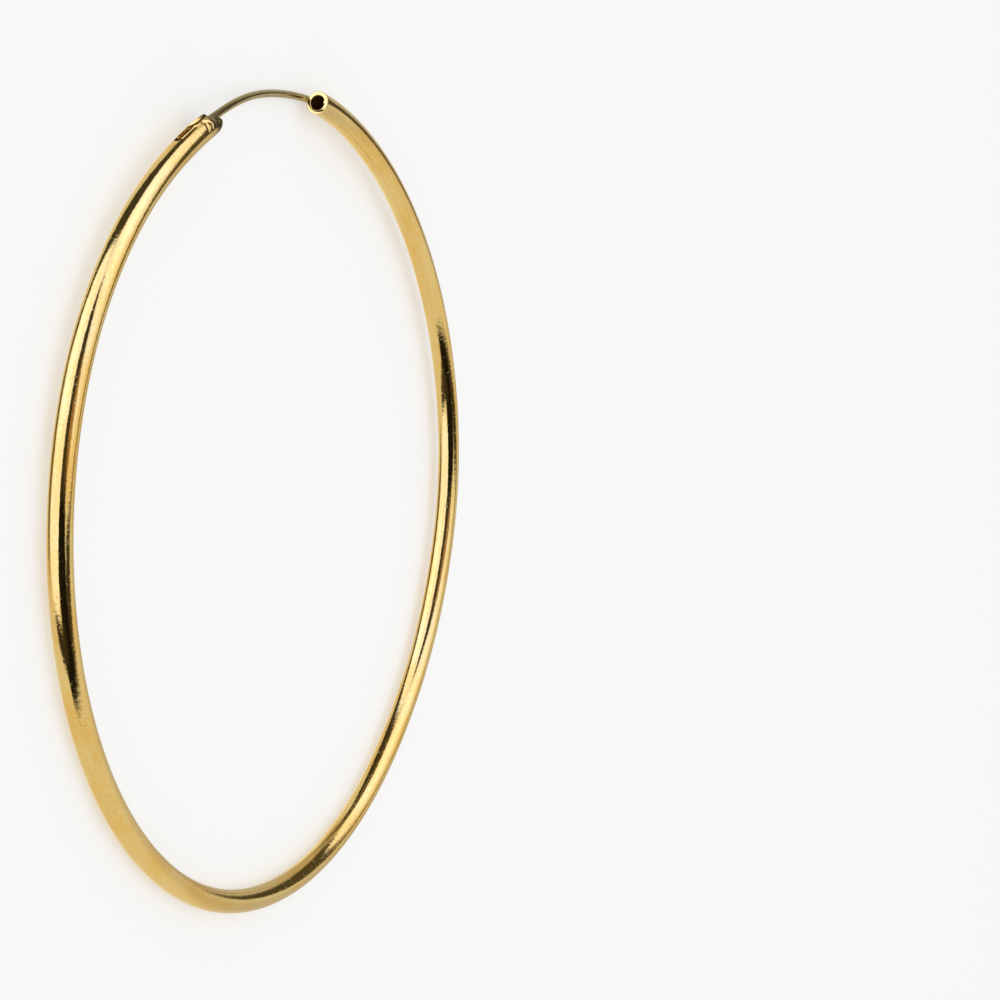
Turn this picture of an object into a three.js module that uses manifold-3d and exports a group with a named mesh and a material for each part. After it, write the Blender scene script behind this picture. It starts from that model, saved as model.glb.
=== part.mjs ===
// Hoop earring: a hollow round tube bent to a large ring, with a thin ear wire across its gap.
// Millimetres, +Z up. The gap is at +Y. The ring lies on its side, and the tip of its wire,
// which is out of the tube's open end, touches the surface under it.
import * as THREE from 'three';
import { mergeVertices } from 'three/addons/utils/BufferGeometryUtils.js';
import Module from 'manifold-3d';

const wasm = await Module();
wasm.setup();

// Tube
const hoopOuterDiameter = 70;
const tubeDiameter = 2;
const tubeWall = 0.35;
const mouthDegrees = 14.7; // from the middle of the gap to the open end
const noseDegrees = 15.3; // from the middle of the gap to the closed end
const runOut = 0.35; // how far the hand-bent centre line leaves its circle

// Closed end
const noseLength = 1.7;
const slotStart = 1; // from the tip of the closed end
const slotLength = 5.2;
const slotWidth = 0.56;

// Ear wire
const wireDiameter = 0.65;
const wireRootLength = 5; // inside the closed end
const wireOverlap = 3.5; // past the open end
const wireBow = 0.56; // outward of the tube's circle at the open end
const wireMouthGap = 0.035; // between the wire and the tube under the open end
const wireTipRound = 0.3;
const rootClearance = 0.06;

// Fineness of the faceted solids
const tubeSides = 20;
const tubeStepDegrees = 3.75;
const wireSides = 12;
const wireStep = 0.9;
const slotSteps = 10;
const shortestStep = 0.3; // of a whole step, between an end and the first whole step

const tubeRadius = tubeDiameter / 2;
const boreRadius = tubeRadius - tubeWall;
const wireRadius = wireDiameter / 2;
const hoopRadius = hoopOuterDiameter / 2 - tubeRadius;
const wireDrop = tubeRadius + wireRadius + wireMouthGap; // the wire passes under the open end
const gapDegrees = mouthDegrees + noseDegrees;
const runDegrees = 360 - gapDegrees;
const degreesPerMm = 180 / Math.PI / hoopRadius;
const up = new THREE.Vector3(0, 0, 1);

// Tube's centre line: share of its run from the closed end to the open one, share of the run-out
const centreLine = [
  [0, -0.85],
  [0.03, -0.95],
  [0.09, -0.04],
  [0.14, 0.28],
  [0.24, -0.24],
  [0.34, -0.22],
  [0.44, 0.37],
  [0.51, 0.3],
  [0.57, -0.48],
  [0.625, -1.06],
  [0.69, -0.24],
  [0.755, 0.92],
  [0.82, 0.22],
  [0.89, -0.62],
  [0.945, -0.49],
  [1, 0.49],
];

// Closed end: share of the nose's length from its tip, then its reach outward, inward and to
// each side as shares of the tube's radius
const noseSections = [
  [0, 0.15, 0.3, 0.34],
  [0.04, 0.28, 0.54, 0.58],
  [0.14, 0.42, 0.76, 0.78],
  [0.34, 0.6, 0.9, 0.92],
  [0.62, 0.8, 0.97, 0.98],
  [1, 1, 1, 1],
];

// Bore behind the closed end: share of the nose's length from its tip, share of the bore's radius
const boreEnd = [
  [0.4, 0.3],
  [0.5, 0.7],
  [0.7, 0.92],
  [1, 1],
];

// Slot: share of its length from the nose, share of its width
const slotSections = [
  [0, 1],
  [0.7, 0.95],
  [0.9, 0.7],
  [1, 0.2],
];

// Ear wire: share of the gap from the closed end, shares of the bow and of the drop
const wireRun = [
  [-0.3, 0.05, 0],
  [0, 0.07, 0],
  [0.16, 0.15, 0.1],
  [0.36, 0.24, 0.32],
  [0.6, 0.31, 0.57],
  [0.72, 0.4, 0.7],
  [0.84, 0.58, 0.83],
  [1, 0.98, 1],
  [1.2, 1.7, 1.21],
];

// Wire's rounded ends: share of the rounded length, share of the wire's radius
const wireEnd = [
  [0, 0.45],
  [0.3, 0.8],
  [1, 1],
];

// Smooth curve through a table's rows: the values of its other columns at one place
function readTable(table, place) {
  const last = table.length - 2;
  const found = table.findIndex((row) => row[0] > place) - 1;
  const i = found < 0 ? (place < table[0][0] ? 0 : last) : found;
  const [a, b] = [table[i], table[i + 1]];
  const before = table[Math.max(i - 1, 0)];
  const after = table[Math.min(i + 2, table.length - 1)];
  const width = b[0] - a[0];
  const s = (place - a[0]) / width;
  return a.slice(1).map((value, k) => {
    const slopeA = ((b[k + 1] - before[k + 1]) / (b[0] - before[0])) * width;
    const slopeB = ((after[k + 1] - value) / (after[0] - a[0])) * width;
    const rise = b[k + 1] - value;
    const bend = (3 * rise - 2 * slopeA - slopeB) + (slopeA + slopeB - 2 * rise) * s;
    return value + (slopeA + bend * s) * s;
  });
}

// Point at an angle counter-clockwise from the middle of the gap
function ringPoint(degrees, radius, height) {
  const angle = THREE.MathUtils.degToRad(90 + degrees);
  return new THREE.Vector3(radius * Math.cos(angle), radius * Math.sin(angle), height);
}

// Tube's centre line, by the angle from the middle of the gap
function tubePoint(degrees) {
  const [share] = readTable(centreLine, (degrees - noseDegrees) / runDegrees);
  return ringPoint(degrees, hoopRadius + runOut * share, 0);
}

// Ear wire's centre line, by the angle clockwise from the tip of the closed end
function wirePoint(degrees) {
  const [bow, drop] = readTable(wireRun, degrees / gapDegrees);
  return ringPoint(noseDegrees - degrees, hoopRadius + wireBow * bow, -wireDrop * drop);
}

// Place and directions of a section that lies square to a centre line
function frameAt(pointAt, degrees, turn) {
  const step = 0.01;
  const tangent = pointAt(degrees + step).sub(pointAt(degrees - step)).normalize();
  const outward = tangent.clone().cross(up).multiplyScalar(turn).normalize();
  const upward = outward.clone().cross(tangent).multiplyScalar(turn).normalize();
  return { point: pointAt(degrees), outward, upward };
}

// Section with flat sides outward and down, and its own reach outward, inward and sideways
function ovalSection(frame, sides, outReach, inReach, sideReach) {
  const corner = 1 / Math.cos(Math.PI / sides);
  return Array.from({ length: sides }, (_, i) => {
    const angle = (2 * Math.PI * (i + 0.5)) / sides;
    const across = Math.cos(angle) * corner;
    const reach = across > 0 ? outReach : inReach;
    return frame.point.clone()
      .addScaledVector(frame.outward, across * reach)
      .addScaledVector(frame.upward, Math.sin(angle) * corner * sideReach);
  });
}

function roundSection(frame, sides, radius) {
  return ovalSection(frame, sides, radius, radius, radius);
}

// Closed skin through a row of sections, with a flat fan over each end
function loft(sections) {
  const sides = sections[0].length;
  const corners = sections.flat();
  const faces = [];
  for (let k = 0; k < sections.length - 1; k += 1) {
    for (let i = 0; i < sides; i += 1) {
      const a = k * sides + i;
      const b = k * sides + ((i + 1) % sides);
      faces.push(a, b, b + sides, a, b + sides, a + sides);
    }
  }
  const lastStart = (sections.length - 1) * sides;
  for (let i = 1; i < sides - 1; i += 1) {
    faces.push(0, i + 1, i);
    faces.push(lastStart, lastStart + i, lastStart + i + 1);
  }
  const geometry = new THREE.BufferGeometry().setFromPoints(corners);
  geometry.setIndex(faces);
  return geometry;
}

function toSolid(geometry) {
  const merged = mergeVertices(geometry);
  const solid = new wasm.Manifold(new wasm.Mesh({
    numProp: 3,
    vertProperties: new Float32Array(merged.attributes.position.array),
    triVerts: new Uint32Array(merged.index.array),
  }));
  return solid.volume() > 0 ? solid : toSolid(flipped(merged));
}

function flipped(geometry) {
  const faces = Array.from(geometry.index.array);
  for (let i = 0; i < faces.length; i += 3) {
    [faces[i + 1], faces[i + 2]] = [faces[i + 2], faces[i + 1]];
  }
  return geometry.clone().setIndex(faces);
}

function toGeometry(solid) {
  const mesh = solid.getMesh();
  const geometry = new THREE.BufferGeometry();
  geometry.setAttribute('position', new THREE.BufferAttribute(mesh.vertProperties, 3));
  geometry.setIndex(new THREE.BufferAttribute(mesh.triVerts, 1));
  geometry.computeVertexNormals();
  return geometry;
}

// Angles of the tube's plain stretch, on whole steps so that the ring's widest points are sections
function tubeStations() {
  const noseEnd = noseDegrees + noseLength * degreesPerMm;
  const mouth = 360 - mouthDegrees;
  const first = Math.ceil(noseEnd / tubeStepDegrees + shortestStep);
  const last = Math.floor(mouth / tubeStepDegrees - shortestStep);
  const between = Array.from({ length: last - first + 1 }, (_, i) => (first + i) * tubeStepDegrees);
  return [...between, mouth];
}

function tubeFrame(degrees) {
  return frameAt(tubePoint, degrees, 1);
}

function noseFrame(share) {
  return tubeFrame(noseDegrees + share * noseLength * degreesPerMm);
}

// Hollow tube, as one skin: up the bore to the open end, over its rim and back outside to the nose
function tubeShell() {
  const stations = tubeStations();
  const boreRings = [
    ...boreEnd.map(([share, radius]) => roundSection(noseFrame(share), tubeSides, radius * boreRadius)),
    ...stations.map((degrees) => roundSection(tubeFrame(degrees), tubeSides, boreRadius)),
  ];
  const outerRings = [
    ...noseSections.map(([share, out, inward, side]) => ovalSection(
      noseFrame(share), tubeSides, out * tubeRadius, inward * tubeRadius, side * tubeRadius,
    )),
    ...stations.map((degrees) => roundSection(tubeFrame(degrees), tubeSides, tubeRadius)),
  ];
  return toSolid(loft([...boreRings, ...outerRings.reverse()]));
}

// Cutter for the slot along the outermost line, from inside the bore to outside the wall
function slotCutter() {
  const low = boreRadius / 2;
  const high = tubeRadius + tubeWall;
  const sections = Array.from({ length: slotSteps + 1 }, (_, i) => {
    const share = i / slotSteps;
    const degrees = noseDegrees + (slotStart + share * slotLength) * degreesPerMm;
    const frame = tubeFrame(degrees);
    const halfWidth = (slotWidth / 2) * readTable(slotSections, share)[0];
    const corners = [[low, -halfWidth], [high, -halfWidth], [high, halfWidth], [low, halfWidth]];
    return corners.map(([out, side]) => frame.point.clone()
      .addScaledVector(frame.outward, out)
      .addScaledVector(frame.upward, side));
  });
  return toSolid(loft(sections));
}

// Round bar along the wire's centre line; its lengths are measured from the tip of the closed end
function wireBar(start, end, radiusAt) {
  const steps = Math.ceil((end - start) / wireStep);
  const plain = Array.from({ length: steps + 1 }, (_, i) => start + ((end - start) * i) / steps);
  const rounded = wireEnd.slice(1, -1).flatMap(([share]) => [
    start + share * wireTipRound,
    end - share * wireTipRound,
  ]);
  const places = [...plain, ...rounded, start + wireTipRound, end - wireTipRound];
  places.sort((a, b) => a - b);
  return toSolid(loft(places.map((place) => roundSection(
    frameAt(wirePoint, place * degreesPerMm, -1), wireSides, radiusAt(place, start, end),
  ))));
}

function roundedRadius(place, start, end) {
  const fromEnd = Math.min(place - start, end - place) / wireTipRound;
  return fromEnd < 1 ? wireRadius * readTable(wireEnd, fromEnd)[0] : wireRadius;
}

function earWire() {
  return wireBar(-wireRootLength, gapDegrees / degreesPerMm + wireOverlap, roundedRadius);
}

// Room for the wire's root in the closed end
function rootCutter() {
  const past = rootClearance + wireTipRound;
  return wireBar(-wireRootLength - past, noseLength, () => wireRadius + rootClearance);
}

function hoopTube() {
  return tubeShell().subtract(slotCutter()).subtract(rootCutter());
}

function goldMesh(name, solid, color, roughness) {
  const material = new THREE.MeshStandardMaterial({ color, roughness, metalness: 1 });
  const mesh = new THREE.Mesh(toGeometry(solid), material);
  mesh.name = name;
  return mesh;
}

// Lays the hoop on the surface: it stands on the wire's tip and on the tube opposite to the tip
function layDown(hoop) {
  const tip = wirePoint(gapDegrees + (wireOverlap - wireTipRound) * degreesPerMm);
  const sink = wireRadius - tip.z - tubeRadius;
  const tipDistance = Math.hypot(tip.x, tip.y);
  const tilt = Math.atan(sink / (tipDistance + hoopRadius));
  const toTip = new THREE.Vector3(tip.x, tip.y, 0).normalize();
  const floorNormal = toTip.multiplyScalar(Math.sin(tilt)).addScaledVector(up, Math.cos(tilt));
  hoop.quaternion.setFromUnitVectors(floorNormal, up);
  hoop.position.z = (tubeRadius + hoopRadius * Math.tan(tilt)) * Math.cos(tilt);
}

const hoop = new THREE.Group();
hoop.add(goldMesh('hoop_tube', hoopTube(), 0xdcb564, 0.25));
hoop.add(goldMesh('ear_wire', earWire(), 0xb9a873, 0.35));
layDown(hoop);

const earring = new THREE.Group();
earring.add(hoop);

export default earring;
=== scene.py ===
# Hoop earring: a polished gold tube bent to a ring, with a thin ear wire out of its closed end.
# It lies on a pale floor. Lengths are in millimetres in the hoop's own plane until place() turns
# them into metres in the frame; angles run counter-clockwise from the middle of the ring's gap.
import math

import bmesh
import bpy
import numpy as np
from mathutils import Euler, Matrix, Vector


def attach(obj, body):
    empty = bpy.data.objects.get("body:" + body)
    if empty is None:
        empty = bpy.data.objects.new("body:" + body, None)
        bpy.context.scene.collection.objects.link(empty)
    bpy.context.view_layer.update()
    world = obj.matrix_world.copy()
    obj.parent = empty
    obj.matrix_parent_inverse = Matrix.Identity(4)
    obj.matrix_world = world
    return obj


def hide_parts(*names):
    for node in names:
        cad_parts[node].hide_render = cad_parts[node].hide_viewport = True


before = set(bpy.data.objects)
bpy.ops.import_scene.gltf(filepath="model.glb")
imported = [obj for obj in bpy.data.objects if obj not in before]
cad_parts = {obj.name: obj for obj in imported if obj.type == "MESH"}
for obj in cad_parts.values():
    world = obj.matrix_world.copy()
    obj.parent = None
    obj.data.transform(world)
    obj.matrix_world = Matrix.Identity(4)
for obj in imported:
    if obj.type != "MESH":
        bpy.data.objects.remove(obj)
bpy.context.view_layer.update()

# Tube
HOOP_OUTER_DIAMETER = 70.0
TUBE_DIAMETER = 2.0
TUBE_WALL = 0.35
MOUTH_DEGREES = 14.7
NOSE_DEGREES = 15.3
RUN_OUT = 0.35

# Closed end, and the fine seam along the inner side of the tube by its section angle
NOSE_LENGTH = 1.7
WORKED_LENGTH = 6.6
SLOT_START = 1.0
SLOT_LENGTH = 5.2
SLOT_WIDTH = 0.56
LIP_ROUND = 0.07
SEAM_DEGREES = 177.0
SEAM_SPREAD_DEGREES = 3.2
SEAM_DEPTH = 0.002

# The bore is choked with solder round the wire's root
BORE_START = 7.6

# Open end: its rounded rim, and a burr inside by its section angle
RIM_ROUND = 0.06
BURR_DEGREES = 92.0
BURR_SPREAD_DEGREES = 13.0
BURR_HEIGHT = 0.13

# Ear wire
WIRE_DIAMETER = 0.65
WIRE_ROOT_LENGTH = 5.0
WIRE_OVERLAP = 3.5
WIRE_BOW = 0.56
WIRE_MOUTH_GAP = 0.035
WIRE_TIP_ROUND = 0.3
ROOT_CLEARANCE = 0.06

TUBE_RADIUS = TUBE_DIAMETER / 2
BORE_RADIUS = TUBE_RADIUS - TUBE_WALL
WIRE_RADIUS = WIRE_DIAMETER / 2
HOOP_RADIUS = HOOP_OUTER_DIAMETER / 2 - TUBE_RADIUS
WIRE_DROP = TUBE_RADIUS + WIRE_RADIUS + WIRE_MOUTH_GAP
GAP_DEGREES = MOUTH_DEGREES + NOSE_DEGREES
RUN_DEGREES = 360 - GAP_DEGREES
DEGREES_PER_MM = math.degrees(1 / HOOP_RADIUS)
MM = 0.001

# Fineness of the meshes
TUBE_SIDES = 128
TUBE_STEP_DEGREES = 0.8
TUBE_SHARP_DEGREES = 40
NOSE_STEPS = 40
NOSE_CROWDING = 1.5
WORKED_STEPS = 100
RIM_STEPS = 4
BURR_LENGTHS = np.array((0.06, 0.12, 0.2, 0.3))
BORE_STEP_DEGREES = 4.0
BORE_END_STEPS = 12
SLOT_STEPS = 40
WIRE_SIDES = 28
WIRE_STEP = 0.12
WIRE_END_RINGS = np.array((0, 0.05, 0.15, 0.3, 0.5, 0.75))
WIRE_SHARP_DEGREES = 60
SLOPE_STEP_DEGREES = 0.01
# The skin stays so far inside the nominal size, because the seam and the marks stand on it
SKIN_INSET = 0.002

# Tube's centre line: share of its run from the closed end to the open one, share of the run-out
CENTRE_LINE = (
    (0, -0.85), (0.03, -0.95), (0.09, -0.04), (0.14, 0.28), (0.24, -0.24), (0.34, -0.22),
    (0.44, 0.37), (0.51, 0.3), (0.57, -0.48), (0.625, -1.06), (0.69, -0.24), (0.755, 0.92),
    (0.82, 0.22), (0.89, -0.62), (0.945, -0.49), (1, 0.49),
)
# Closed end: share of the nose's length from its tip, then its reach outward, inward and to
# each side as shares of the tube's radius
NOSE_SECTIONS = (
    (0, 0.15, 0.3, 0.34), (0.04, 0.28, 0.54, 0.58), (0.14, 0.42, 0.76, 0.78),
    (0.34, 0.6, 0.9, 0.92), (0.62, 0.8, 0.97, 0.98), (1, 1, 1, 1),
)
# Blind end of the bore: share of the nose's length, share of the bore's radius
BORE_END = ((0.4, 0.3), (0.5, 0.7), (0.7, 0.92), (1, 1))
# Slot: share of its length from the nose, then its lower and its upper edge as shares of its width
SLOT_SECTIONS = (
    (0, 0.0, 0.2), (0.1, 0.04, 0.36), (0.35, 0.05, 0.48), (0.45, -0.2, 0.43), (0.55, -0.62, 0.3),
    (0.9, -0.68, 0.25), (0.97, -0.66, 0.22), (1, -0.55, 0.14),
)
# Marks of the work on the closed end, pressed in or raised. Each runs from one place to another:
# length from the tip and section angle in degrees, twice, then its half width and its height
WORKED = (
    (3.3, -8, 1.5, -6, 0.16, 0.06),
    (1.35, -8, 1.3, -12, 0.12, 0.13),
    (0.85, -12, 0.9, 10, 0.24, -0.12),
    (3.3, -24, 3.5, -26, 0.2, 0.05),
    (5.9, 13, 3.6, 15, 0.07, 0.05),
    (3.6, 18, 2.5, 22, 0.11, 0.05),
    (2.3, 32, 2.1, 38, 0.2, 0.05),
    (2.8, 30, 2.2, 48, 0.11, -0.03),
    (2.62, 38, 2.95, 80, 0.12, -0.03),
    (2.25, 50, 2.75, 76, 0.1, -0.012),
    (2.1, 62, 2.25, 80, 0.14, -0.04),
    (1.0, 30, 1.1, 80, 0.6, -0.14),
    (1.5, 22, 1.6, 36, 0.12, 0.03),
)
# Ear wire: share of the gap from the closed end, shares of the bow and of the drop
WIRE_RUN = (
    (-0.3, 0.05, 0), (0, 0.07, 0), (0.16, 0.15, 0.1), (0.36, 0.24, 0.32), (0.6, 0.31, 0.57),
    (0.72, 0.4, 0.7), (0.84, 0.58, 0.83), (1, 0.98, 1), (1.2, 1.7, 1.21),
)
# Wire's rounded ends: share of the rounded length, share of the wire's radius
WIRE_END = ((0, 0.45), (0.3, 0.8), (1, 1))


def read_table(table, places):
    """Smooth curve through a table's rows: the values of its other columns at each place."""
    rows = np.array(table, float)
    places = np.atleast_1d(np.asarray(places, float))
    i = np.clip(np.searchsorted(rows[:, 0], places, side="right") - 1, 0, len(rows) - 2)
    a, b = rows[i], rows[i + 1]
    before, after = rows[np.maximum(i - 1, 0)], rows[np.minimum(i + 2, len(rows) - 1)]
    width = b[:, :1] - a[:, :1]
    share = (places[:, None] - a[:, :1]) / width
    slope_a = (b[:, 1:] - before[:, 1:]) / (b[:, :1] - before[:, :1]) * width
    slope_b = (after[:, 1:] - a[:, 1:]) / (after[:, :1] - a[:, :1]) * width
    rise = b[:, 1:] - a[:, 1:]
    bend = (3 * rise - 2 * slope_a - slope_b) + (slope_a + slope_b - 2 * rise) * share
    return a[:, 1:] + (slope_a + bend * share) * share


def ring_points(degrees, radius, height):
    """Points round the hoop's axis, by the angle from the middle of the gap."""
    angle = np.radians(90 + np.atleast_1d(degrees))
    height = np.broadcast_to(height, angle.shape)
    return np.stack([radius * np.cos(angle), radius * np.sin(angle), height], axis=1)


def tube_line(degrees):
    """Tube's centre line, by the angle from the middle of the gap."""
    share = read_table(CENTRE_LINE, (degrees - NOSE_DEGREES) / RUN_DEGREES)[:, 0]
    return ring_points(degrees, HOOP_RADIUS + RUN_OUT * share, 0.0)


def wire_line(degrees):
    """Ear wire's centre line, by the angle clockwise from the tip of the closed end."""
    bow, drop = read_table(WIRE_RUN, degrees / GAP_DEGREES).T
    return ring_points(NOSE_DEGREES - degrees, HOOP_RADIUS + WIRE_BOW * bow, -WIRE_DROP * drop)


def frames(line, degrees, turn):
    """Places on a line, and the outward and upward directions of sections square to it."""
    degrees = np.atleast_1d(np.asarray(degrees, float))
    tangent = line(degrees + SLOPE_STEP_DEGREES) - line(degrees - SLOPE_STEP_DEGREES)
    tangent /= np.linalg.norm(tangent, axis=1, keepdims=True)
    outward = np.cross(tangent, (0, 0, 1)) * turn
    outward /= np.linalg.norm(outward, axis=1, keepdims=True)
    upward = np.cross(outward, tangent) * turn
    return line(degrees), outward, upward


def tube_frames(length):
    """Frames along the tube, at lengths from the nose's tip."""
    return frames(tube_line, NOSE_DEGREES + length * DEGREES_PER_MM, 1)


def sections(line_frames, across, rise):
    """One ring of points for each frame, from distances out of the line and up from it."""
    places, outward, upward = line_frames
    return (places[:, None, :] + across[:, :, None] * outward[:, None, :]
            + rise[:, :, None] * upward[:, None, :])


def section_angles(sides):
    """Angles round a section, from straight out of the ring through straight up."""
    return 2 * np.pi * (np.arange(sides) + 0.5) / sides


def round_sections(line_frames, sides, radius):
    """Round sections, of one radius or of one for each frame."""
    angles = section_angles(sides)
    radius = np.broadcast_to(np.asarray(radius, float), len(line_frames[0]))[:, None]
    return sections(line_frames, radius * np.cos(angles), radius * np.sin(angles))


def outer_reach(length, angles):
    """Outer skin's distances out and up from the centre line, at lengths from the nose's tip."""
    share = np.minimum(length / NOSE_LENGTH, 1)
    out, inward, side = (column[:, None] for column in read_table(NOSE_SECTIONS, share).T)
    across = np.where(np.cos(angles) > 0, out, inward) * np.cos(angles) * TUBE_RADIUS
    return across, side * np.sin(angles) * TUBE_RADIUS


def worked(length, angles):
    """Height of the marks on the skin, at lengths from the nose's tip."""
    arc = np.where(angles > np.pi, angles - 2 * np.pi, angles) * TUBE_RADIUS
    height = np.zeros_like(length[:, None] * arc)
    for start, start_degrees, end, end_degrees, half_width, rise in WORKED:
        run = end - start
        turn = math.radians(end_degrees - start_degrees) * TUBE_RADIUS
        along = length[:, None] - start
        around = arc - math.radians(start_degrees) * TUBE_RADIUS
        share = np.clip((along * run + around * turn) / (run ** 2 + turn ** 2), 0, 1)
        away = np.hypot(along - share * run, around - share * turn)
        height += rise * np.exp(-(away / half_width) ** 2)
    return height


def seam(length, angles):
    """Fine groove along the inner side, where the tube's sheet closes."""
    off = (angles - math.radians(SEAM_DEGREES)) / math.radians(SEAM_SPREAD_DEGREES)
    return -SEAM_DEPTH * np.exp(-off ** 2) * np.minimum(length / WORKED_LENGTH, 1)[:, None]


def outer_skin(length):
    """Sections of the outer skin with its marks and its seam."""
    angles = section_angles(TUBE_SIDES)[None, :]
    across, rise = outer_reach(length, angles)
    swell = 1 + (worked(length, angles) + seam(length, angles) - SKIN_INSET) / TUBE_RADIUS
    return sections(tube_frames(length), across * swell, rise * swell)


def burr_sections(line_frames, radius, share):
    """Sections of the bore near the mouth, with a share of the burr on one side."""
    angles = section_angles(TUBE_SIDES)[None, :]
    off = (angles - math.radians(BURR_DEGREES)) / math.radians(BURR_SPREAD_DEGREES)
    reach = radius[:, None] - BURR_HEIGHT * share[:, None] * np.exp(-off ** 2)
    return sections(line_frames, reach * np.cos(angles), reach * np.sin(angles))


def lay_down():
    """The hoop's rest pose: it stands on the wire's tip and on the tube opposite to the tip."""
    tip = wire_line(GAP_DEGREES + (WIRE_OVERLAP - WIRE_TIP_ROUND) * DEGREES_PER_MM)[0]
    sink = WIRE_RADIUS - tip[2] - TUBE_RADIUS
    reach = math.hypot(tip[0], tip[1])
    tilt = math.atan(sink / (reach + HOOP_RADIUS))
    to_tip = Vector((tip[0], tip[1], 0)).normalized()
    floor_normal = to_tip * math.sin(tilt) + Vector((0, 0, math.cos(tilt)))
    turn = floor_normal.rotation_difference(Vector((0, 0, 1)))
    lift = (TUBE_RADIUS + HOOP_RADIUS * math.tan(tilt)) * math.cos(tilt)
    return Matrix.Translation((0, 0, lift * MM)) @ turn.to_matrix().to_4x4()


REST = lay_down()


def place(points):
    """Points in metres in the frame, from millimetres in the hoop's plane."""
    turn = np.array(REST.to_3x3())
    return np.asarray(points) @ turn.T * MM + np.array(REST.translation)


def loft(name, rings):
    """Closed mesh through rings of points, with a flat fan over each end."""
    sides = len(rings[0])
    points = place(np.concatenate(rings))
    ring, side = np.meshgrid(np.arange(len(rings) - 1), np.arange(sides), indexing="ij")
    a = (ring * sides + side).ravel()
    b = (ring * sides + (side + 1) % sides).ravel()
    faces = [tuple(face) for face in np.stack([a, b, b + sides, a + sides], axis=1).tolist()]
    last = (len(rings) - 1) * sides
    faces.append(tuple(range(sides - 1, -1, -1)))
    faces.append(tuple(range(last, last + sides)))
    mesh = bpy.data.meshes.new(name)
    mesh.from_pydata(points.tolist(), [], faces)
    piece = bpy.data.objects.new(name, mesh)
    bpy.context.scene.collection.objects.link(piece)
    return piece


def outward_faces(piece):
    """Turns a closed mesh's faces outward."""
    shape = bmesh.new()
    shape.from_mesh(piece.data)
    bmesh.ops.recalc_face_normals(shape, faces=shape.faces)
    if shape.calc_volume(signed=True) < 0:
        bmesh.ops.reverse_faces(shape, faces=shape.faces)
    shape.to_mesh(piece.data)
    shape.free()


def split_faces(piece):
    """Splits faces of many corners into triangles, none of which doubles back on another."""
    shape = bmesh.new()
    shape.from_mesh(piece.data)
    many_cornered = [face for face in shape.faces if len(face.verts) > 4]
    bmesh.ops.triangulate(shape, faces=many_cornered, ngon_method="BEAUTY")
    shape.to_mesh(piece.data)
    shape.free()


def cut(piece, cutters):
    """Takes the cutters out of a piece, and the cutters out of the scene."""
    for cutter in cutters:
        outward_faces(cutter)
        modifier = piece.modifiers.new("cut", "BOOLEAN")
        modifier.operation = "DIFFERENCE"
        modifier.solver = "EXACT"
        modifier.object = cutter
    shaped = piece.evaluated_get(bpy.context.evaluated_depsgraph_get())
    mesh = bpy.data.meshes.new_from_object(shaped)
    piece.modifiers.clear()
    old = piece.data
    piece.data = mesh
    bpy.data.meshes.remove(old)
    for cutter in cutters:
        bpy.data.objects.remove(cutter)
    split_faces(piece)


def smooth(piece, sharp_degrees):
    """Smooth shading, apart from edges sharper than an angle."""
    piece.data.shade_smooth()
    piece.data.set_sharp_from_angle(angle=math.radians(sharp_degrees))


def tube_shell():
    """Hollow tube as one skin: out of the nose to the mouth, over the rim and back in the bore."""
    run = RUN_DEGREES / DEGREES_PER_MM
    nose = NOSE_LENGTH * np.linspace(0, 1, NOSE_STEPS) ** NOSE_CROWDING
    step = TUBE_STEP_DEGREES / DEGREES_PER_MM
    fine = np.linspace(NOSE_LENGTH, WORKED_LENGTH, WORKED_STEPS)[1:-1]
    plain = np.linspace(WORKED_LENGTH, run - RIM_ROUND, int((run - WORKED_LENGTH) / step))
    outer = outer_skin(np.concatenate([nose, fine, plain]))

    turn = np.linspace(0, np.pi / 2, RIM_STEPS + 1)[1:]
    over = run - RIM_ROUND * (1 - np.sin(turn))
    rim_radius = TUBE_RADIUS - SKIN_INSET - RIM_ROUND * (1 - np.cos(turn))
    rim_out = round_sections(tube_frames(over), TUBE_SIDES, rim_radius)
    turn_back = turn[::-1]
    mouth_radius = BORE_RADIUS + RIM_ROUND * (1 - np.cos(turn_back))
    rim_in = burr_sections(tube_frames(over[::-1]), mouth_radius, np.sin(turn_back))

    bore_step = BORE_STEP_DEGREES / DEGREES_PER_MM
    back = np.linspace(run - RIM_ROUND, BORE_START, int((run - BORE_START) / bore_step))
    back = np.concatenate([run - BURR_LENGTHS, back[1:]])
    burr_share = np.clip(1 - (run - back) / BURR_LENGTHS[-1], 0, 1)
    bore = burr_sections(tube_frames(back), np.full_like(back, BORE_RADIUS), burr_share)

    end_share = np.linspace(1, BORE_END[0][0], BORE_END_STEPS)[1:]
    end_radius = BORE_RADIUS * read_table(BORE_END, end_share)[:, 0]
    end_length = BORE_START - (1 - end_share) * NOSE_LENGTH
    end = round_sections(tube_frames(end_length), TUBE_SIDES, end_radius)
    return loft("gold_hoop_tube", [*outer, *rim_out, *rim_in, *bore, *end])


def slot_cutter(low, high, low_spread, high_spread):
    """Prism along the outermost line, from one distance out of the centre line to another."""
    share = np.linspace(0, 1, SLOT_STEPS)
    low_edge, high_edge = SLOT_WIDTH * read_table(SLOT_SECTIONS, share).T
    start, length = SLOT_START - high_spread, SLOT_LENGTH + 2 * high_spread
    across = np.tile((low, high, high, low), (SLOT_STEPS, 1))
    rise = np.stack([low_edge - low_spread, low_edge - high_spread, high_edge + high_spread,
                     high_edge + low_spread], axis=1)
    return loft("cutter", sections(tube_frames(start + share * length), across, rise))


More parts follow.
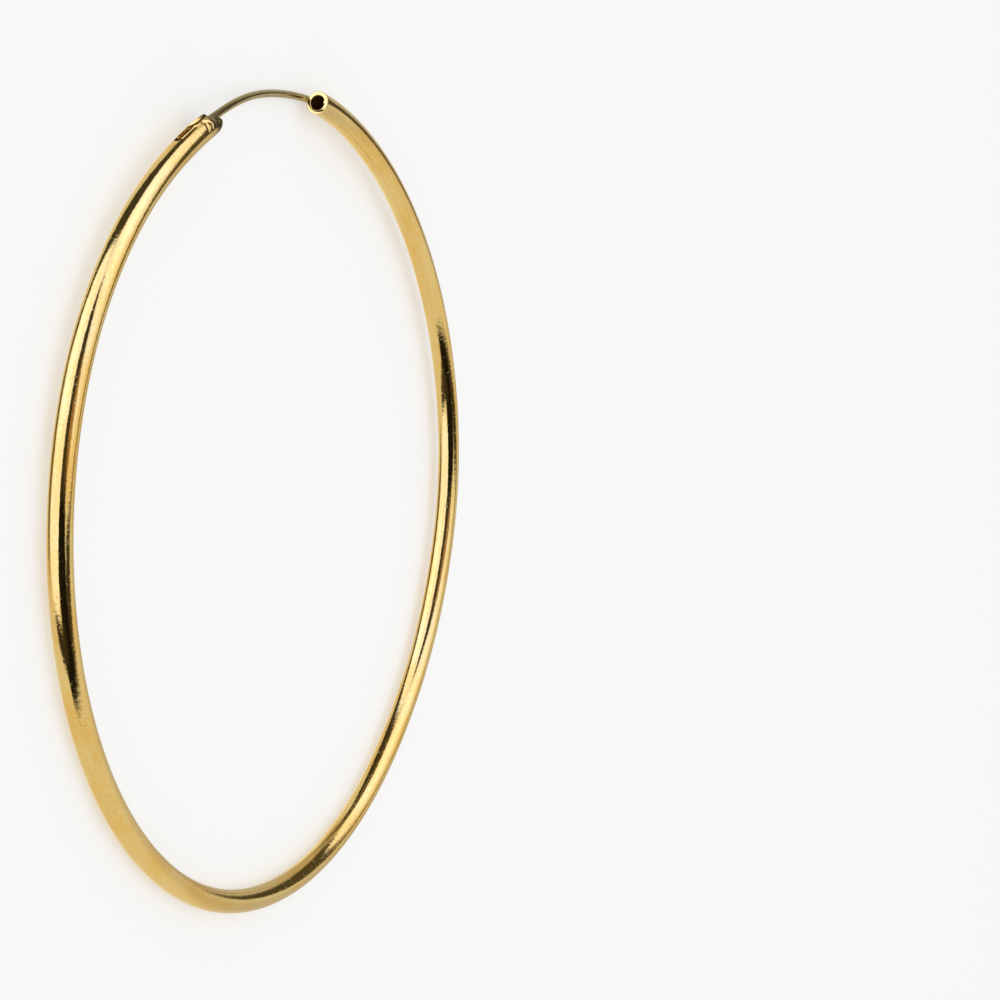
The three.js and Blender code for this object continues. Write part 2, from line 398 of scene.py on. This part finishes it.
def wire_bar(name, start, end, radius):
    """Round bar along the wire's centre line; lengths are from the tip of the closed end."""
    places = np.linspace(start, end, int((end - start) / WIRE_STEP))
    ends = WIRE_END_RINGS * WIRE_TIP_ROUND
    places = np.unique(np.concatenate([places, start + ends, end - ends]))
    line_frames = frames(wire_line, places * DEGREES_PER_MM, -1)
    return loft(name, round_sections(line_frames, WIRE_SIDES, radius(places, start, end)))


def rounded_radius(places, start, end):
    """Radius of the wire, which is rounded off at both ends."""
    from_end = np.minimum(places - start, end - places) / WIRE_TIP_ROUND
    ends = WIRE_RADIUS * read_table(WIRE_END, np.minimum(from_end, 1))[:, 0]
    return np.where(from_end < 1, ends, WIRE_RADIUS)


def root_radius(places, start, end):
    """Radius of the room for the wire's root."""
    return WIRE_RADIUS + ROOT_CLEARANCE


def root_cutter():
    """Bar round the wire's root, as long as the root with its clearance."""
    past = ROOT_CLEARANCE + WIRE_TIP_ROUND
    return wire_bar("cutter", -WIRE_ROOT_LENGTH - past, NOSE_LENGTH, root_radius)


# Where the finish and the painted shade change: share of the skin's reach that is inside, the spread
# of that change, the depth of bore over which the rim's polish fades into the painted shade, and the
# darker length at the tip and its fade
SKIN_SHARE = 0.9
INSIDE_SPREAD = 0.2
RIM_FADE = 0.4
DARK_TIP_LENGTH = 2.3
DARK_TIP_FADE = 0.7


def mark_inside(tube):
    """Writes how deep each point lies within the tube, which sets the painted shade inside, and how
    near to the worked tip, from 0 to 1.
    """
    points = np.empty(len(tube.data.vertices) * 3)
    tube.data.vertices.foreach_get("co", points)
    turn = np.array(REST.to_3x3())
    points = (points.reshape(-1, 3) - np.array(REST.translation)) @ turn / MM
    degrees = (np.degrees(np.arctan2(points[:, 1], points[:, 0])) - 90) % 360
    centre = tube_line(degrees)
    out = np.linalg.norm(points[:, :2], axis=1) - np.linalg.norm(centre[:, :2], axis=1)
    angles = np.arctan2(points[:, 2], out)
    length = np.maximum((degrees - NOSE_DEGREES) / DEGREES_PER_MM, 0)
    reach = np.hypot(*outer_reach(length, angles[:, None]))[:, 0]
    share = np.hypot(out, points[:, 2]) / reach
    behind_mouth = RUN_DEGREES / DEGREES_PER_MM - length
    in_bore = (share < SKIN_SHARE) * np.clip(behind_mouth / RIM_FADE, 0, 1)
    in_slot = np.clip((SKIN_SHARE - share) / INSIDE_SPREAD, 0, 1)
    inside = np.where(length < WORKED_LENGTH, in_slot, in_bore)
    tip = np.clip((DARK_TIP_LENGTH - length) / DARK_TIP_FADE, 0, 1)
    for name, values in (("inside", inside), ("tip", tip)):
        attribute = tube.data.attributes.new(name, "FLOAT", "POINT")
        attribute.data.foreach_set("value", values.astype(np.float32))


def hoop_tube():
    """Hollow tube with its slot, and with room in it for the wire's root."""
    tube = tube_shell()
    outward_faces(tube)
    high = TUBE_RADIUS + TUBE_WALL
    chamfer = slot_cutter(TUBE_RADIUS - LIP_ROUND, high, 0, LIP_ROUND + TUBE_WALL)
    cut(tube, [slot_cutter(BORE_RADIUS / 2, high, 0, 0), chamfer, root_cutter()])
    smooth(tube, TUBE_SHARP_DEGREES)
    mark_inside(tube)
    return tube


def ear_wire():
    """Round wire from its root in the slot to its free end under the mouth."""
    wire = wire_bar("gold_ear_wire", -WIRE_ROOT_LENGTH,
                    GAP_DEGREES / DEGREES_PER_MM + WIRE_OVERLAP, rounded_radius)
    outward_faces(wire)
    smooth(wire, WIRE_SHARP_DEGREES)
    return wire


# Sockets of a Mix node that mixes colours
MIX_SHARE = 0
MIX_FROM = 6
MIX_TO = 7
MIX_RESULT = 2


class Nodes:
    """Short form for building a node tree."""

    def __init__(self, tree):
        self.tree = tree
        tree.nodes.clear()

    def add(self, kind, inputs=None, **settings):
        """A node with its settings; each input is a number, a colour or another node's socket."""
        node = self.tree.nodes.new(kind)
        for name, value in settings.items():
            setattr(node, name, value)
        for name, value in (inputs or {}).items():
            socket = node.inputs[name]
            if isinstance(value, bpy.types.NodeSocket):
                self.tree.links.new(value, socket)
            else:
                socket.default_value = value
        return node

    def math(self, operation, *values):
        return self.add("ShaderNodeMath", dict(enumerate(values)), operation=operation).outputs[0]

    def noise(self, vector, scale, detail):
        return self.add("ShaderNodeTexNoise", {
            "Vector": vector, "Scale": scale, "Detail": detail, "Roughness": NOISE_ROUGHNESS,
        }).outputs["Fac"]

    def ramp(self, value, stops):
        """Smooth change between two (place, level) stops."""
        (first, first_level), (last, last_level) = stops
        return self.add("ShaderNodeMapRange", {
            "Value": value, "From Min": first, "From Max": last,
            "To Min": first_level, "To Max": last_level,
        }, interpolation_type="SMOOTHSTEP").outputs["Result"]

    def mix(self, share, start, end):
        colors = {MIX_SHARE: share, MIX_FROM: start, MIX_TO: end}
        return self.add("ShaderNodeMix", colors, data_type="RGBA").outputs[MIX_RESULT]

    def bump(self, pattern, height, below=None):
        """Bumps of a pattern, with a height in metres, on top of those below."""
        inputs = {"Height": pattern, "Distance": height, "Strength": 1.0}
        if below is not None:
            inputs["Normal"] = below
        return self.add("ShaderNodeBump", inputs).outputs[0]


def color(red, green, blue):
    return (red, green, blue, 1.0)


def tinted(level, tint):
    """A light's colour, from its level and its tint."""
    return color(*(level * part for part in tint))


def tube_space(nodes):
    """Coordinates along the ring, out of the centre line's circle and up, in metres."""
    point = nodes.add("ShaderNodeTexCoord").outputs["Object"]
    in_hoop = nodes.add("ShaderNodeMapping", {
        "Vector": point, "Location": REST.translation, "Rotation": REST.to_euler(),
    }, vector_type="TEXTURE").outputs[0]
    x, y, z = nodes.add("ShaderNodeSeparateXYZ", {0: in_hoop}).outputs
    back = nodes.math("MULTIPLY", y, -1.0)
    along = nodes.math("MULTIPLY", nodes.math("ARCTAN2", x, back), HOOP_RADIUS * MM)
    far = nodes.math("SQRT", nodes.math("ADD", nodes.math("MULTIPLY", x, x),
                                        nodes.math("MULTIPLY", y, y)))
    out = nodes.math("SUBTRACT", far, HOOP_RADIUS * MM)
    return along, out, z


# Finishes: pale tone, deep tone, roughness and the grain's height in metres
TUBE_FINISH = ((0.88, 0.7, 0.33), (0.86, 0.59, 0.2), 0.06, 9e-6)
WIRE_FINISH = ((0.62, 0.54, 0.33), (0.5, 0.41, 0.2), 0.2, 1.2e-5)
# Inside of the tube: never polished, so rougher, and painted darker brown as shade in the bore and the
# slot; the closed end, darker near its tip
DULL_SHADED_GOLD = (0.55, 0.32, 0.12)
DULL_ROUGHNESS = 0.5
DARK_TIP_GOLD = (0.11, 0.092, 0.045)
DARK_TIP_ROUGHNESS = 0.14
# Patterns of the metal: how much of each is left along the piece, its scale per metre, its detail
STREAKS = (0.04, 9000.0, 4.0)
GRAIN = (1.0, 3000.0, 3.0)
PITS = (1.0, 3600.0, 1.0)
WAVES = (0.3, 900.0, 2.0)
TONES = (0.35, 420.0, 4.0)
MOTTLE = (1.0, 4200.0, 2.0)
TIP_PATCHES = (1.0, 1500.0, 3.0)
NOISE_ROUGHNESS = 0.55
# Change that a pattern makes: the stretch of its values that it runs over, with a level for each
TONE_CHANGE = ((0.35, 0.0), (0.68, 1.0))
PIT_CHANGE = ((0.68, 0.0), (0.76, 1.0))
TIP_PATCH_CHANGE = ((0.36, 0.35), (0.56, 1.0))
# Share of the mottle in the tone, share of the streaks in the roughness
MOTTLE_SHARE = 0.55
STREAK_ROUGHNESS = 0.08
# Heights of the patterns in metres
STREAK_HEIGHT = 1.2e-6
WAVE_HEIGHT = 1.5e-5
PIT_HEIGHT = -6e-6


def gold(name, base, deep, roughness, grain_height):
    """Polished gold with drawn streaks along the piece, a fine grain and slow changes of tone."""
    material = bpy.data.materials.new(name)
    material.use_nodes = True
    nodes = Nodes(material.node_tree)
    along, out, height = tube_space(nodes)

    def pattern(stretch, scale, detail):
        stretched = nodes.math("MULTIPLY", along, stretch)
        space = nodes.add("ShaderNodeCombineXYZ", {0: stretched, 1: out, 2: height}).outputs[0]
        return nodes.noise(space, scale, detail)

    mottle = nodes.math("SUBTRACT", pattern(*MOTTLE), 0.5)
    tone = nodes.math("MULTIPLY_ADD", mottle, MOTTLE_SHARE, pattern(*TONES))
    inside = nodes.add("ShaderNodeAttribute", attribute_name="inside").outputs["Fac"]
    tip = nodes.add("ShaderNodeAttribute", attribute_name="tip").outputs["Fac"]
    # Darker olive patches over the closed end near its tip
    darkened_tip = nodes.math("MULTIPLY", tip, nodes.ramp(pattern(*TIP_PATCHES), TIP_PATCH_CHANGE))
    hue = nodes.mix(nodes.ramp(tone, TONE_CHANGE), color(*base), color(*deep))
    # Painted shade: the bore and the slot take a darker dull brown in place of the gold
    hue = nodes.mix(inside, hue, color(*DULL_SHADED_GOLD))
    hue = nodes.mix(darkened_tip, hue, color(*DARK_TIP_GOLD))

    streaks = pattern(*STREAKS)
    rough = nodes.math("MULTIPLY_ADD", streaks, STREAK_ROUGHNESS, roughness - STREAK_ROUGHNESS / 2)
    rough = nodes.math("MULTIPLY_ADD", inside, DULL_ROUGHNESS, rough)
    rough = nodes.math("MULTIPLY_ADD", darkened_tip, DARK_TIP_ROUGHNESS, rough)

    bumps = nodes.bump(streaks, STREAK_HEIGHT)
    bumps = nodes.bump(pattern(*GRAIN), grain_height, bumps)
    bumps = nodes.bump(pattern(*WAVES), WAVE_HEIGHT, bumps)
    bumps = nodes.bump(nodes.ramp(pattern(*PITS), PIT_CHANGE), PIT_HEIGHT, bumps)
    shader = nodes.add("ShaderNodeBsdfPrincipled", {
        "Base Color": hue, "Metallic": 1.0, "Roughness": rough, "Normal": bumps,
    })
    nodes.add("ShaderNodeOutputMaterial", {"Surface": shader.outputs[0]})
    return material


# Floor: a light table, glowing softly through pale paper. Its side is in metres.
FLOOR_SIDE = 6.0
FLOOR_PAPER = (0.9, 0.9, 0.895)
FLOOR_ROUGHNESS = 0.9
FLOOR_GLOSS = 0.1
FLOOR_GLOW = 0.4


def floor():
    """Plain pale floor, which the metal doesn't show."""
    half = FLOOR_SIDE / 2
    corners = [(-half, -half, 0), (half, -half, 0), (half, half, 0), (-half, half, 0)]
    mesh = bpy.data.meshes.new("floor")
    mesh.from_pydata(corners, [], [(0, 1, 2, 3)])
    plane = bpy.data.objects.new("floor", mesh)
    bpy.context.scene.collection.objects.link(plane)
    material = bpy.data.materials.new("floor_paper")
    material.use_nodes = True
    nodes = Nodes(material.node_tree)
    shader = nodes.add("ShaderNodeBsdfPrincipled", {
        "Base Color": color(*FLOOR_PAPER), "Roughness": FLOOR_ROUGHNESS,
        "Specular IOR Level": FLOOR_GLOSS,
        "Emission Color": color(1.0, 1.0, 1.0), "Emission Strength": FLOOR_GLOW,
    })
    nodes.add("ShaderNodeOutputMaterial", {"Surface": shader.outputs[0]})
    mesh.materials.append(material)
    plane.visible_glossy = False


# Studio round the hoop, as the metal shows it. Tints come first, then each soft box or dark card:
# its middle azimuth and elevation, half width and half height in degrees, its lean in degrees of
# azimuth for each degree up, squareness, softness of the edge, level and tint. Later rows lie
# over earlier ones.
CREAM = (1.0, 1.0, 1.12)
WARM = (1.1, 1.0, 0.78)
TAN = (1.1, 1.0, 0.86)
BROWN = (1.2, 1.0, 0.6)
AMBER = (1.6, 1.0, 0.5)
STUDIO = (
    (60, 90, 130, 46, 0.0, 3, 0.2, 0.88, WARM),
    (282, 29, 72, 53, 0.0, 2.6, 0.06, 0.012, BROWN),
    (284, 73, 50, 9, 0.0, 3, 0.25, 0.05, BROWN),
    (294, -3, 68, 68, 0.0, 2.6, 0.06, 0.74, WARM),
    (225, -22, 16, 32, 0.0, 3, 0.1, 0.74, WARM),
    (330, 8, 24, 26, 0.0, 2, 0.6, 0.53, TAN),
    (352, -42, 40, 18, 0.0, 2, 0.7, 0.9, WARM),
    (348, -14, 22, 18, 0.0, 2, 0.5, 0.5, WARM),
    (27, 8, 28, 34, -0.35, 3, 0.16, 0.065, BROWN),
    (359, 35, 9, 10, -0.4, 2, 0.4, 0.07, BROWN),
    (348, 49, 4.5, 12, -0.75, 2, 0.5, 0.3, BROWN),
    (14, -9, 40, 22, 0.0, 2, 0.3, 0.5, WARM),
    (79, 62, 57, 52, 0.0, 2.4, 0.1, 1.12, CREAM),
    (76, 44, 25, 20, 0.0, 2, 0.9, 1.5, CREAM),
    (30, 27, 15, 15, -1.3, 3, 0.22, 0.075, BROWN),
    (80, -2, 22, 15, 0.0, 3, 0.15, 0.06, BROWN),
    (92, -30, 18, 42, -0.3, 3, 0.15, 0.05, BROWN),
    (145, -86, 80, 24, 0.0, 3, 0.15, 0.15, BROWN),
    (164, 42, 48, 28, 0.5, 3, 0.1, 0.05, BROWN),
    (204, 46, 30, 30, 0.2, 3, 0.15, 0.01, BROWN),
    (146, 62, 20, 13, 0.3, 2, 0.6, 0.26, AMBER),
    (153, -18, 50, 40, 0.0, 3.5, 0.07, 1.25, CREAM),
    (138, -26, 22, 18, 0.0, 2, 0.9, 1.6, CREAM),
    (209, 4, 6, 38, 0.12, 2, 0.3, 0.04, BROWN),
)
# Light from where no box or card is, the plain dome that lights the floor, and the backdrop
STUDIO_LEVEL = 0.72
FLOOR_LIGHT = 0.5
BACKDROP = 1.0


def patch_mask(nodes, azimuth, elevation, shape):
    """How far each direction lies within a rounded patch of the studio, from 0 to 1."""
    middle, rise, half_width, half_height, lean, square, soft = shape
    up = nodes.math("SUBTRACT", elevation, math.radians(rise))
    turned = nodes.math("MULTIPLY_ADD", up, -lean, azimuth)
    aside = nodes.math("SUBTRACT", turned, math.radians(middle))
    aside = nodes.math("WRAP", aside, math.pi, -math.pi)
    shares = []
    for part, half in ((aside, half_width), (up, half_height)):
        share = nodes.math("ABSOLUTE", nodes.math("DIVIDE", part, math.radians(half)))
        shares.append(nodes.math("POWER", share, square))
    reach = nodes.math("POWER", nodes.math("ADD", *shares), 1 / square)
    return nodes.ramp(reach, ((1 - soft, 1.0), (1 + soft, 0.0)))


def studio():
    """Soft boxes and dark cards all round, as seen in the metal; the rest sees a plain pale dome."""
    world = bpy.data.worlds.new("studio")
    bpy.context.scene.world = world
    world.use_nodes = True
    nodes = Nodes(world.node_tree)
    direction = nodes.add("ShaderNodeTexCoord").outputs["Generated"]
    x, y, z = nodes.add("ShaderNodeSeparateXYZ", {0: direction}).outputs
    azimuth = nodes.math("ARCTAN2", y, x)
    elevation = nodes.math("ARCSINE", z)
    light = tinted(STUDIO_LEVEL, WARM)
    for *shape, level, tint in STUDIO:
        mask = patch_mask(nodes, azimuth, elevation, shape)
        light = nodes.mix(mask, light, tinted(level, tint))
    rays = nodes.add("ShaderNodeLightPath").outputs
    plain = nodes.mix(rays["Is Camera Ray"], color(FLOOR_LIGHT, FLOOR_LIGHT, FLOOR_LIGHT),
                      color(BACKDROP, BACKDROP, BACKDROP))
    dome = nodes.add("ShaderNodeBackground", {"Color": plain})
    boxes = nodes.add("ShaderNodeBackground", {"Color": light})
    shown = nodes.add("ShaderNodeMixShader", {
        0: rays["Is Glossy Ray"], 1: dome.outputs[0], 2: boxes.outputs[0],
    })
    nodes.add("ShaderNodeOutputWorld", {"Surface": shown.outputs[0]})


# Overhead light: its side and its height in metres, and its power in watts
OVERHEAD_SIDE = 1.2
OVERHEAD_HEIGHT = 1.0
OVERHEAD_POWER = 1.5


def overhead_light():
    """Large soft box overhead that lights the floor and isn't seen in the metal."""
    light = bpy.data.lights.new("overhead", "AREA")
    light.shape = "SQUARE"
    light.size = OVERHEAD_SIDE
    light.energy = OVERHEAD_POWER
    lamp = bpy.data.objects.new("overhead", light)
    lamp.location = (0, 0, OVERHEAD_HEIGHT)
    lamp.visible_glossy = False
    bpy.context.scene.collection.objects.link(lamp)


# Camera: its place in millimetres and the direction that it looks from, in the hoop's plane. Its
# lens and its sensor are in millimetres too, and its nearest and farthest sight in metres.
CAMERA_PLACE = (-198.854, 43.461, 108.469)
CAMERA_AZIMUTH = 168.04
CAMERA_ELEVATION = 23.394
CAMERA_ROLL = 94.174
CAMERA_LENS = 97.2
SENSOR_WIDTH = 36.0
NEAREST = 0.005
FARTHEST = 20


def camera():
    """Camera at the photograph's viewing angle."""
    tool = bpy.data.cameras.new("camera")
    tool.lens = CAMERA_LENS
    tool.sensor_width = SENSOR_WIDTH
    tool.clip_start = NEAREST
    tool.clip_end = FARTHEST
    view = bpy.data.objects.new("camera", tool)
    turn = Euler((math.radians(90 - CAMERA_ELEVATION), 0, math.radians(90 + CAMERA_AZIMUTH)))
    roll = Matrix.Rotation(math.radians(CAMERA_ROLL), 4, "Z")
    spot = Matrix.Translation(Vector(CAMERA_PLACE) * MM)
    view.matrix_world = REST @ spot @ turn.to_matrix().to_4x4() @ roll
    bpy.context.scene.collection.objects.link(view)
    bpy.context.scene.camera = view
    bpy.context.scene.view_settings.view_transform = "Standard"


camera()
floor()
studio()
overhead_light()

tube = hoop_tube()
tube.data.materials.append(gold("polished_gold", *TUBE_FINISH))
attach(tube, "root")
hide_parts("hoop_tube")

wire = ear_wire()
wire.data.materials.append(gold("wire_gold", *WIRE_FINISH))
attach(wire, "root")
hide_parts("ear_wire")
